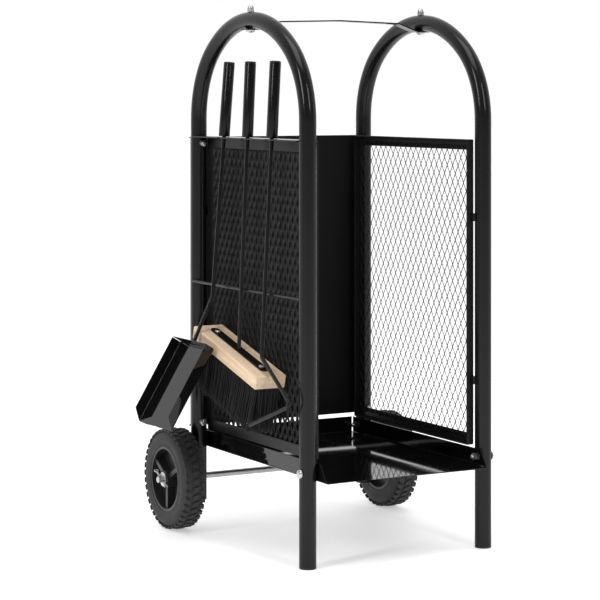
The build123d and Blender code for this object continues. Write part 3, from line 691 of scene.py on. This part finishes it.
# %% Log tray
TRAY_SHEET = 0.0015
TRAY_SLANT = 0.018
tray_low, tray_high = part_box("log_tray")
half_sheet = TRAY_SHEET / 2
tray = folded_tray("log_tray_folded",
                   Vector((mid_x, tray_high.y - half_sheet, tray_low.z + half_sheet)),
                   Vector((0, -1, 0)), Vector((0, 0, 1)), tray_high.y - tray_low.y - half_sheet,
                   tray_high.x - tray_low.x - TRAY_SHEET, tray_high.z - tray_low.z - half_sheet,
                   TRAY_SLANT, TRAY_SHEET, 0.0028, gloss_sheet)
tray = thickened(tray, TRAY_SHEET, 0.0003)
dress(tray, "frame", "log_tray")

# %% Back panel
dress(softened("back_panel", "back_panel_pressed", dull_sheet, 0.0006), "frame", "back_panel")

# %% [markdown]
# ## Ledge, tabs, strap and rest bar
# These are cut and bent from plain bar and plate. Their CAD shapes are right, so they are
# copied with rounded edges. The rest bar is a thin rod, swept like the tubes.

# %% Ledge, tabs and strap
for node, name, edge in (("tool_ledge", "tool_ledge_cut", 0.0004),
                         ("mesh_frame_tabs", "mesh_tabs", 0.0005),
                         ("carry_strap", "carry_strap_bent", 0.0004)):
    dress(softened(node, name, powder_coat, edge), "frame", node)

# %% Rest bar
rest_low, rest_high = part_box("tool_rest_bar")
rest_middle = (rest_low + rest_high) / 2
rest_ends = [(rest_middle.x, y, rest_middle.z) for y in (rest_low.y, rest_high.y)]
rest_bar = rod_piece("tool_rest_rod", rest_ends, (rest_high.x - rest_low.x) / 2, powder_coat, sides=20)
dress(rest_bar, "frame", "tool_rest_bar")

# %% [markdown]
# ## Bolts and nuts
# The rack is bolted together from flat. Round heads show outside, hexagon nuts inside, and two
# acorn nuts stand on top of the tubes. A head is a plain turned dome, and an open nut has a few
# turns of the bolt's thread in it. Each pattern is made once and set on its points by the tree.


# %% The patterns
def domed_head():
    """A carriage bolt's plain domed head. It stands on z = 0 and points up."""
    dome = [(0, 0), (0.007, 0), (0.007, 0.0006), (0.0067, 0.0016), (0.0058, 0.0027), (0.0042, 0.0035),
            (0.0022, 0.0039), (0, 0.004)]
    return turned_mesh("bolt_head", dome, 36)


def hexagon(shape, radius, low, high, bevel):
    """Adds a hexagon nut body with its corners turned down at the top."""
    rings = []
    for size, height in ((radius, low), (radius, high - bevel), (radius - 2 * bevel, high)):
        rings.append([shape.verts.new((size * cos(pi / 3 * k), size * sin(pi / 3 * k), height))
                      for k in range(6)])
    for one, two in zip(rings, rings[1:]):
        for k in range(6):
            shape.faces.new((one[k], one[(k + 1) % 6], two[(k + 1) % 6], two[k]))
    shape.faces.new(rings[0][::-1])
    shape.faces.new(rings[-1])


def join_turned(shape, profile, sides=24):
    extra = turned_mesh("extra", profile, sides)
    shape.from_mesh(extra)
    bpy.data.meshes.remove(extra)


def nut_pattern(domed):
    """A hexagon nut, either open with the bolt's threaded end in it, or closed by a dome."""
    shape = bmesh.new()
    hexagon(shape, 0.00577, 0, 0.005, 0.0005)
    if domed:
        dome = [(0.0046, 0.0049), (0.0046, 0.0064), (0.0041, 0.0082), (0.003, 0.0093),
                (0.0015, 0.0098), (0, 0.0099)]
        join_turned(shape, dome)
    else:
        thread = [(0.003, 0.0045)]
        for turn in range(3):
            thread += [(0.003, 0.005 + turn * 0.0008), (0.0027, 0.0054 + turn * 0.0008)]
        join_turned(shape, thread + [(0.0024, 0.0076), (0, 0.0076)])
    return finished(shape, "nut")


# %% Set them on their places
side_xs = (left_x, right_x)
tray_head_low, tray_head_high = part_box("tray_bolts")
tray_nut_low, tray_nut_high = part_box("tray_nuts")
panel_head_low, panel_head_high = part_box("panel_bolts")
panel_nut_low, panel_nut_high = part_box("panel_nuts")
HEAD_HIGH = 0.004
NUT_HIGH = 0.005
tray_bolt_z = (tray_head_low.z + tray_head_high.z) / 2
panel_levels = (panel_head_low.z + 0.007, panel_head_high.z - 0.007)
tray_heads = [((side_x, y, tray_bolt_z), (sign, 0, 0)) for y in (front_y, rear_y) for side_x,
              sign in ((tray_head_low.x + HEAD_HIGH, -1), (tray_head_high.x - HEAD_HIGH, 1))]
tray_nut_places = [((side_x, y, tray_bolt_z), (sign, 0, 0)) for y in (front_y, rear_y)
                   for side_x, sign in ((tray_nut_low.x, 1), (tray_nut_high.x, -1))]
panel_heads = [((x, panel_head_high.y - HEAD_HIGH, z), (0, 1, 0)) for x in side_xs for z in panel_levels]
panel_nut_places = [((x, panel_nut_high.y, z), (0, -1, 0)) for x in side_xs for z in panel_levels]
strap_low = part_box("strap_bolts")[0].z
strap_nut_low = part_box("strap_nuts")[0].z
strap_heads = [((x, mid_y, strap_low + HEAD_HIGH), (0, 0, -1)) for x in side_xs]
strap_nut_places = [((x, mid_y, strap_nut_low), (0, 0, 1)) for x in side_xs]

for name, node, pattern, places in (
        ("tray_bolt_heads", "tray_bolts", domed_head(), tray_heads),
        ("tray_bolt_nuts", "tray_nuts", nut_pattern(False), tray_nut_places),
        ("panel_bolt_heads", "panel_bolts", domed_head(), panel_heads),
        ("panel_bolt_nuts", "panel_nuts", nut_pattern(False), panel_nut_places),
        ("strap_bolt_heads", "strap_bolts", domed_head(), strap_heads),
        ("strap_acorn_nuts", "strap_nuts", nut_pattern(True), strap_nut_places)):
    dress(parts_at(name, pattern, places, bright_zinc), "frame", node)

# %% [markdown]
# ## Axle and split pins
# The axle is plain plated bar. A washer and a split pin hold each wheel on. A split pin is one
# half-round wire folded double: a loop at one end, two legs through the axle, and the legs'
# tips bent apart so that it can't fall out.

# %% Axle and washers
axle_low, axle_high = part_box("axle")
axle_y, axle_z = (axle_low.y + axle_high.y) / 2, (axle_low.z + axle_high.z) / 2
axle_radius = (axle_high.z - axle_low.z) / 2
dress(softened("axle", "axle_bar", zinc_bar, 0.0004), "frame", "axle")
dress(softened("axle_washers", "axle_washers_stamped", bright_zinc, 0.0003), "frame",
      "axle_washers")

# %% Split pins
PIN_TURN = radians(62)
PIN_LENGTH = 0.040
PIN_INSET = 0.0074                # from the axle's end
WIRE = 0.0009


def split_pin_line(x, sign):
    """One folded wire: leg, loop and second leg, in the plane across the axle."""
    down = Vector((0, -sin(PIN_TURN), -cos(PIN_TURN)))
    out = Vector((sign, 0, 0))
    middle = Vector((x, axle_y, axle_z))
    gap = WIRE * 1.05
    loop = 0.0030
    reach = PIN_LENGTH / 2
    points = [middle + down * reach - out * 0.0022, middle + down * (reach - 0.006) - out * gap]
    points.append(middle - down * (reach - 0.001) - out * gap)
    for step in range(13):
        turn = pi * 2 * (0.12 + 0.76 * step / 12)
        centre = middle - down * (reach + 0.002)
        points.append(centre + down * (loop * cos(turn)) - out * (loop * sin(turn)))
    points.append(middle - down * (reach - 0.001) + out * gap)
    points += [middle + down * (reach - 0.006) + out * gap,
               middle + down * (reach - 0.001) + out * 0.003]
    return points


pins = [rod_piece("pin", split_pin_line(x, sign), WIRE, bright_zinc, sides=10)
        for x, sign in ((axle_low.x + PIN_INSET, -1), (axle_high.x - PIN_INSET, 1))]


def joined(name, pieces, material):
    """One object from several, which are removed."""
    mesh = bpy.data.meshes.new(name)
    shape = bmesh.new()
    for piece in pieces:
        shape.from_mesh(piece.data)
    shape.to_mesh(mesh)
    shape.free()
    for piece in pieces:
        bpy.data.objects.remove(piece)
    return new_piece(name, mesh, material)


split_pins = joined("split_pins_bent", pins, bright_zinc)
dress(split_pins, "frame", "split_pins")

# %% [markdown]
# ## Wheels
# The tyre is solid rubber with a block tread. Its carcass is one profile spun round, and the
# blocks are one lug, instanced round the rim in rows that are staggered. The hub is a moulding
# whose CAD shape is right and only needs rounded edges.

# %% The tree that sets lugs round a wheel
LUG_INPUTS = [("Count", "NodeSocketInt"), ("Radius", "NodeSocketFloat"), ("Start", "NodeSocketFloat"),
              ("Centre", "NodeSocketVector"), ("Material", "NodeSocketMaterial")]
lug_tree, given, result = new_tree("lugs_round_wheel", LUG_INPUTS)
circle = add_node(lug_tree, "GeometryNodeMeshCircle", {"Vertices": given["Count"],
                  "Radius": given["Radius"]})
number = add_node(lug_tree, "GeometryNodeInputIndex")
share = maths(lug_tree, "DIVIDE", number, given["Count"])
turn = add_node(lug_tree, "ShaderNodeCombineXYZ", {"Z": maths(lug_tree, "MULTIPLY", share, 2 * pi)})
lugs = add_node(lug_tree, "GeometryNodeInstanceOnPoints", {"Points": circle,
                "Instance": given["Geometry"], "Rotation": turn})
start = add_node(lug_tree, "ShaderNodeCombineXYZ", {"Z": given["Start"]})
staggered = add_node(lug_tree, "GeometryNodeTransform", {"Geometry": lugs, "Rotation": start})
stood = add_node(lug_tree, "GeometryNodeTransform", {"Geometry": staggered,
                 "Translation": given["Centre"], "Rotation": (0, pi / 2, 0)})
finish_tree(lug_tree, stood, given, result)


# %% The carcass and the lugs
LUGS = 40
LUG_HIGH = 0.0024


def lug_mesh(wide, long, slope):
    """One tread block. X points out of the tyre, Y round it and Z across it."""
    shape = bmesh.new()
    bmesh.ops.create_cube(shape, size=1)
    for vert in shape.verts:
        out = vert.co.x > 0
        skew = slope * (vert.co.z * wide)
        vert.co = Vector((LUG_HIGH * (0 if out else -1.6),
                          vert.co.y * long * (0.86 if out else 1) + skew,
                          vert.co.z * wide * (0.93 if out else 1)))
    bmesh.ops.bevel(shape, geom=list(shape.edges), offset=0.0006, segments=2, affect="EDGES")
    return finished(shape, "lug")


def tyre_piece(side):
    low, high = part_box(side + "_tyre")
    hub_low, hub_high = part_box(side + "_wheel_hub")
    outer = (high.z - low.z) / 2
    inner = (hub_high.z - hub_low.z) / 2
    wide = high.x - low.x
    centre = (low + high) / 2
    core = outer - LUG_HIGH
    half = wide / 2
    profile = [(inner, -half + 0.0015), (inner + 0.0012, -half + 0.0002),
               (inner + 0.005, -half + 0.0014)]
    profile += [(inner + 0.0085, -half + 0.0006), (core - 0.012, -half), (core - 0.006, -half + 0.0014)]
    profile += [(core - 0.002, -half + 0.005), (core, -half + 0.010), (core, 0)]
    profile += [(radius, -across) for radius, across in profile[-2::-1]]
    profile.append(profile[0])
    carcass = turned_mesh("carcass", profile, 96)
    carcass.transform(Matrix.Translation(centre) @ Matrix.Rotation(pi / 2, 4, "Y"))
    smooth_by_angle(carcass, 35)
    rows = [new_piece("carcass", carcass)]
    step = 2 * pi / LUGS
    for across, block, start_at, slope in ((-half * 0.66, wide * 0.25, 0, 0.25),
                                           (0, wide * 0.3, step / 2, -0.3),
                                           (half * 0.66, wide * 0.25, 0, 0.25)):
        pattern_mesh = lug_mesh(block, step * outer * 0.72, slope)
        reach = outer - (0.0012 if across else 0)
        values = {"Count": LUGS, "Radius": reach, "Start": start_at,
                  "Centre": centre + Vector((across, 0, 0)), "Material": tyre_rubber}
        rows.append(run_tree(lug_tree, "lugs", pattern_mesh, values, angle=30))
    return joined(side + "_tyre_treaded", rows, tyre_rubber)


for side in ("left", "right"):
    rubber = tyre_piece(side)
    dress(rubber, side + "_wheel", side + "_tyre")
    dress(softened(side + "_wheel_hub", side + "_hub_moulded", hub_plastic, 0.0009, segments=3),
          side + "_wheel", side + "_wheel_hub")

# %% [markdown]
# ## The hanging tools
# Each tool hangs by its grip in a notch of the ledge and leans outwards on the rest bar. A
# tool's line starts in its notch and runs down at its own lean. The measures are the design's.

# %% Lines of the three tools
LEDGE_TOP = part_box("tool_ledge")[1].z
hang_x = left_x - 0.006
TOOL_CENTRE = mid_y - 0.001
TOOL_PITCH = 0.077
ROD_RADIUS = 0.003
ROD_IN_GRIP = 0.030
GRIP_GAP = 0.0004
GRIP_RADIUS = 0.0085
GRIP_LENGTH = 0.111
LEANS = {"shovel": radians(4.6), "brush": radians(2.6), "poker": radians(3)}
STEPS = {"shovel": 1, "brush": 0, "poker": -1}


def notch(tool):
    return Vector((hang_x, TOOL_CENTRE + STEPS[tool] * TOOL_PITCH, LEDGE_TOP))


def up_rod(tool):
    return Vector((sin(LEANS[tool]), 0, cos(LEANS[tool])))


def rod_at(tool, level):
    return notch(tool) + up_rod(tool) * ((level - LEDGE_TOP) / cos(LEANS[tool]))


def rod_top(tool):
    return notch(tool) + up_rod(tool) * (GRIP_GAP + GRIP_RADIUS * tan(LEANS[tool]) + ROD_IN_GRIP)


# %% [markdown]
# The grips are lengths of thin painted tube with a turned foot and a plastic cap. They are
# turned shapes with a soft roll at each end.

# %% Grips and caps
grip_profile = [(ROD_RADIUS, 0), (0.0078, 0), (0.0083, 0.0004), (GRIP_RADIUS, 0.0011),
                (GRIP_RADIUS, 0.1104), (0.0083, 0.1108), (0.0072, GRIP_LENGTH), (0.007, 0.1105),
                (0.007, 0.008), (ROD_RADIUS, 0.008), (ROD_RADIUS, 0)]
cap_profile = [(0, 0.105), (0.0068, 0.105), (0.0068, 0.1112), (GRIP_RADIUS, 0.1112),
               (GRIP_RADIUS, 0.1122), (0.0079, 0.1133), (0.0062, 0.1139), (0, 0.114)]
for tool in ("shovel", "brush", "poker"):
    base = notch(tool) + up_rod(tool) * (GRIP_GAP + GRIP_RADIUS * tan(LEANS[tool]))
    stance = Matrix.Translation(base) @ up_rod(tool).to_track_quat("Z", "Y").to_matrix().to_4x4()
    for name, profile, material, node, slot in (
            ("_grip_tube", grip_profile, powder_coat, "_grip", "black_powder_coat"),
            ("_grip_end", cap_profile, black_plastic, "_grip_cap", "black_plastic")):
        turned = turned_mesh(tool + name, profile, 40)
        turned.transform(stance)
        smooth_by_angle(turned, 35)
        dress(new_piece(tool + name, turned, material), tool, tool + node)

# %% [markdown]
# ### Shovel
# The pan is folded like the tray. Its rod bends outwards and is welded to the middle of the
# pan's top wall.

# %% Shovel
PAN_TILT = radians(31)
PAN_SHEET = 0.0012
PAN_LENGTH, PAN_WIDTH, PAN_WALL, PAN_SLANT = 0.138, 0.115, 0.017, 0.0156
PAN_OUT, PAN_LEVEL = 0.0505, 0.296      # the corner's place, out from the tubes and up
SHOVEL_BEND_LEVEL = 0.369
pan_corner = Vector((left_x - PAN_OUT, notch("shovel").y, PAN_LEVEL))
pan_along = Vector((-sin(PAN_TILT), 0, -cos(PAN_TILT)))
pan_up = Vector((-cos(PAN_TILT), 0, sin(PAN_TILT)))
half_pan = PAN_SHEET / 2
pan = folded_tray("shovel_pan_folded", pan_corner + (pan_along + pan_up) * half_pan, pan_along,
                  pan_up, PAN_LENGTH - half_pan, PAN_WIDTH - PAN_SHEET, PAN_WALL - half_pan,
                  PAN_SLANT, PAN_SHEET, 0.002, gloss_sheet)
pan = thickened(pan, PAN_SHEET, 0.00025)
dress(pan, "shovel", "shovel_pan")

pan_weld = pan_corner + pan_up * (PAN_WALL / 2)
shovel_bend = rod_at("shovel", SHOVEL_BEND_LEVEL)
shovel_route = rounded_route([rod_top("shovel"), shovel_bend, pan_weld], [0.014])
shovel_rod = rod_piece("shovel_rod_bent", shovel_route, ROD_RADIUS, powder_coat)
dress(shovel_rod, "shovel", "shovel_rod")

# %% [markdown]
# ### Brush
# The block is beech, with a steel plate screwed to its top and the rod welded to the plate.
# Its bristles are set in tufts, in drilled holes, and spread a little towards their tips. One
# tuft is a handful of thin bent hairs. A tree sets it on a grid over the block's underside,
# turns each copy by a seeded random angle, and leans it outwards more towards the edges.

# %% Block, plate, rod and screws
dress(softened("brush_block", "brush_block_beech", beech, 0.0012, segments=3, angle=25), "brush",
      "brush_block")
dress(softened("brush_plate", "brush_plate_cut", powder_coat, 0.0003), "brush", "brush_plate")
BLOCK_LEVEL = 0.295
PLATE_THICK = 0.002
block_top = rod_at("brush", BLOCK_LEVEL)
brush_line = [rod_top("brush"), block_top + Vector((0, 0, PLATE_THICK))]
brush_rod = rod_piece("brush_rod_straight", brush_line, ROD_RADIUS, powder_coat)
dress(brush_rod, "brush", "brush_rod")


def cross_head():
    """A small domed screw head with a cross cut into it."""
    dome = [(0, 0), (0.004, 0), (0.0039, 0.0007), (0.0033, 0.0014), (0.002, 0.0019), (0, 0.002)]
    head = new_piece("screw_head", turned_mesh("screw_head", dome, 28))
    shape = bmesh.new()
    for size in ((0.0042, 0.0008), (0.0008, 0.0042)):
        bmesh.ops.create_cube(shape, size=1, matrix=Matrix.Translation((0, 0, 0.002)) @ Matrix.Diagonal(
            (*size, 0.0022, 1)))
    cut = new_piece("cross", finished(shape, "cross"))
    carve = head.modifiers.new("carve", "BOOLEAN")
    carve.operation, carve.object, carve.solver, carve.use_self = "DIFFERENCE", cut, "EXACT", True
    head = plain_mesh(head)
    bpy.data.objects.remove(cut)
    mesh = head.data.copy()
    bpy.data.objects.remove(head)
    return mesh


SCREW_PITCH = 0.146
screw_places = [(block_top + block_up * PLATE_THICK + block_along * (SCREW_PITCH / 2 * end), block_up)
                for end in (-1, 1)]
screws = parts_at("brush_screw_heads", cross_head(), screw_places, bright_zinc)
dress(screws, "brush", "brush_screws")

# %% One tuft
BRISTLE_LENGTH = 0.072
BLOCK_THICK = 0.020
BLOCK_LENGTH, BLOCK_WIDTH = 0.212, 0.050
TUFT_HAIRS = 18
HAIR_RADIUS = 0.00045


def tuft_mesh():
    """Hairs that start close together in one hole and bend apart. They hang down from z = 0."""
    shape = bmesh.new()
    for hair in range(TUFT_HAIRS):
        turn = hair * 2.39996
        reach = sqrt((hair + 0.5) / TUFT_HAIRS)
        away = Vector((cos(turn), sin(turn), 0))
        length = BRISTLE_LENGTH * (1 - 0.05 * ((hair * 7) % 5) / 4)
        rings = []
        for share in (0, 0.35, 0.7, 1):
            middle = away * (reach * (0.0016 + 0.0034 * share * share)) + Vector((0, 0, -length * share))
            size = HAIR_RADIUS * (1 - 0.45 * share)
            rings.append([shape.verts.new(middle + Vector((size * cos(t), size * sin(t), 0)))
                          for t in (turn, turn + 2.0944, turn + 4.1888)])
        for one, two in zip(rings, rings[1:]):
            for k in range(3):
                shape.faces.new((one[k], two[k], two[(k + 1) % 3], one[(k + 1) % 3]))
        shape.faces.new(rings[0])
        shape.faces.new(rings[-1][::-1])
    return finished(shape, "tuft")


# %% The tree that sets the tufts
END_LEAN = -0.3                   # tufts lean less towards the block's ends than to its sides
TUFT_INPUTS = [("Along", "NodeSocketInt"), ("Across", "NodeSocketInt"),
               ("Length", "NodeSocketFloat"), ("Width", "NodeSocketFloat"),
               ("Spread", "NodeSocketFloat"), ("Seed", "NodeSocketInt"),
               ("Centre", "NodeSocketVector"), ("Turn", "NodeSocketVector"),
               ("Material", "NodeSocketMaterial")]
tuft_tree, given, result = new_tree("tufts_under_block", TUFT_INPUTS)
holes = add_node(tuft_tree, "GeometryNodeMeshGrid", {"Vertices X": given["Along"],
                 "Size X": given["Length"], "Vertices Y": given["Across"],
                 "Size Y": given["Width"]})
place = add_node(tuft_tree, "ShaderNodeSeparateXYZ",
                 {"Vector": add_node(tuft_tree, "GeometryNodeInputPosition")})
sideways = maths(tuft_tree, "MULTIPLY", place.outputs["Y"], given["Spread"])
endways = maths(tuft_tree, "MULTIPLY", place.outputs["X"], given["Spread"])
stray = add_node(tuft_tree, "FunctionNodeRandomValue", {0: (-0.02, -0.02, 0.0),
                 1: (0.02, 0.02, 6.28), "Seed": given["Seed"]}, data_type="FLOAT_VECTOR")
lean = add_node(tuft_tree, "ShaderNodeCombineXYZ", {"X": sideways,
                "Y": maths(tuft_tree, "MULTIPLY", endways, END_LEAN)})
own_turn = add_node(tuft_tree, "ShaderNodeVectorMath", {0: lean, 1: stray}, operation="ADD")
tufts = add_node(tuft_tree, "GeometryNodeInstanceOnPoints", {"Points": holes,
                 "Instance": given["Geometry"], "Rotation": own_turn})
hung = add_node(tuft_tree, "GeometryNodeTransform", {"Geometry": tufts,
                "Translation": given["Centre"], "Rotation": given["Turn"]})
finish_tree(tuft_tree, hung, given, result)

# %% Bristles
block_across = block_up.cross(block_along)
block_axes = Matrix((block_along, block_across, block_up)).transposed()
under_block = block_top - block_up * (BLOCK_THICK - 0.001)
values = {"Along": 36, "Across": 8, "Length": BLOCK_LENGTH - 0.016, "Width": BLOCK_WIDTH - 0.014,
          "Spread": 1.2, "Seed": 7, "Centre": under_block, "Turn": Vector(block_axes.to_euler()),
          "Material": bristle_fibre}
bristles = run_tree(tuft_tree, "brush_bristles_tufted", tuft_mesh(), values, angle=80)
dress(bristles, "brush", "brush_bristles")
print("bristles:", len(bristles.data.polygons), "faces")

# %% [markdown]
# ### Poker
# The poker is one rod. It bends forwards above the brush, and its end turns sharply back into
# a prong that can hook a log.

# %% Poker
POKER_BEND_LEVEL = 0.292
poker_bend = rod_at("poker", POKER_BEND_LEVEL)
hook_end = poker_bend + Vector((-0.010, -0.108, -0.056))
prong_tip = hook_end + Vector((-0.013, 0.102, -0.040))
poker_route = rounded_route([rod_top("poker"), poker_bend, hook_end, prong_tip], [0.006, 0.006])
poker_rod = rod_piece("poker_rod_bent", poker_route, ROD_RADIUS, powder_coat)
dress(poker_rod, "poker", "poker_rod")
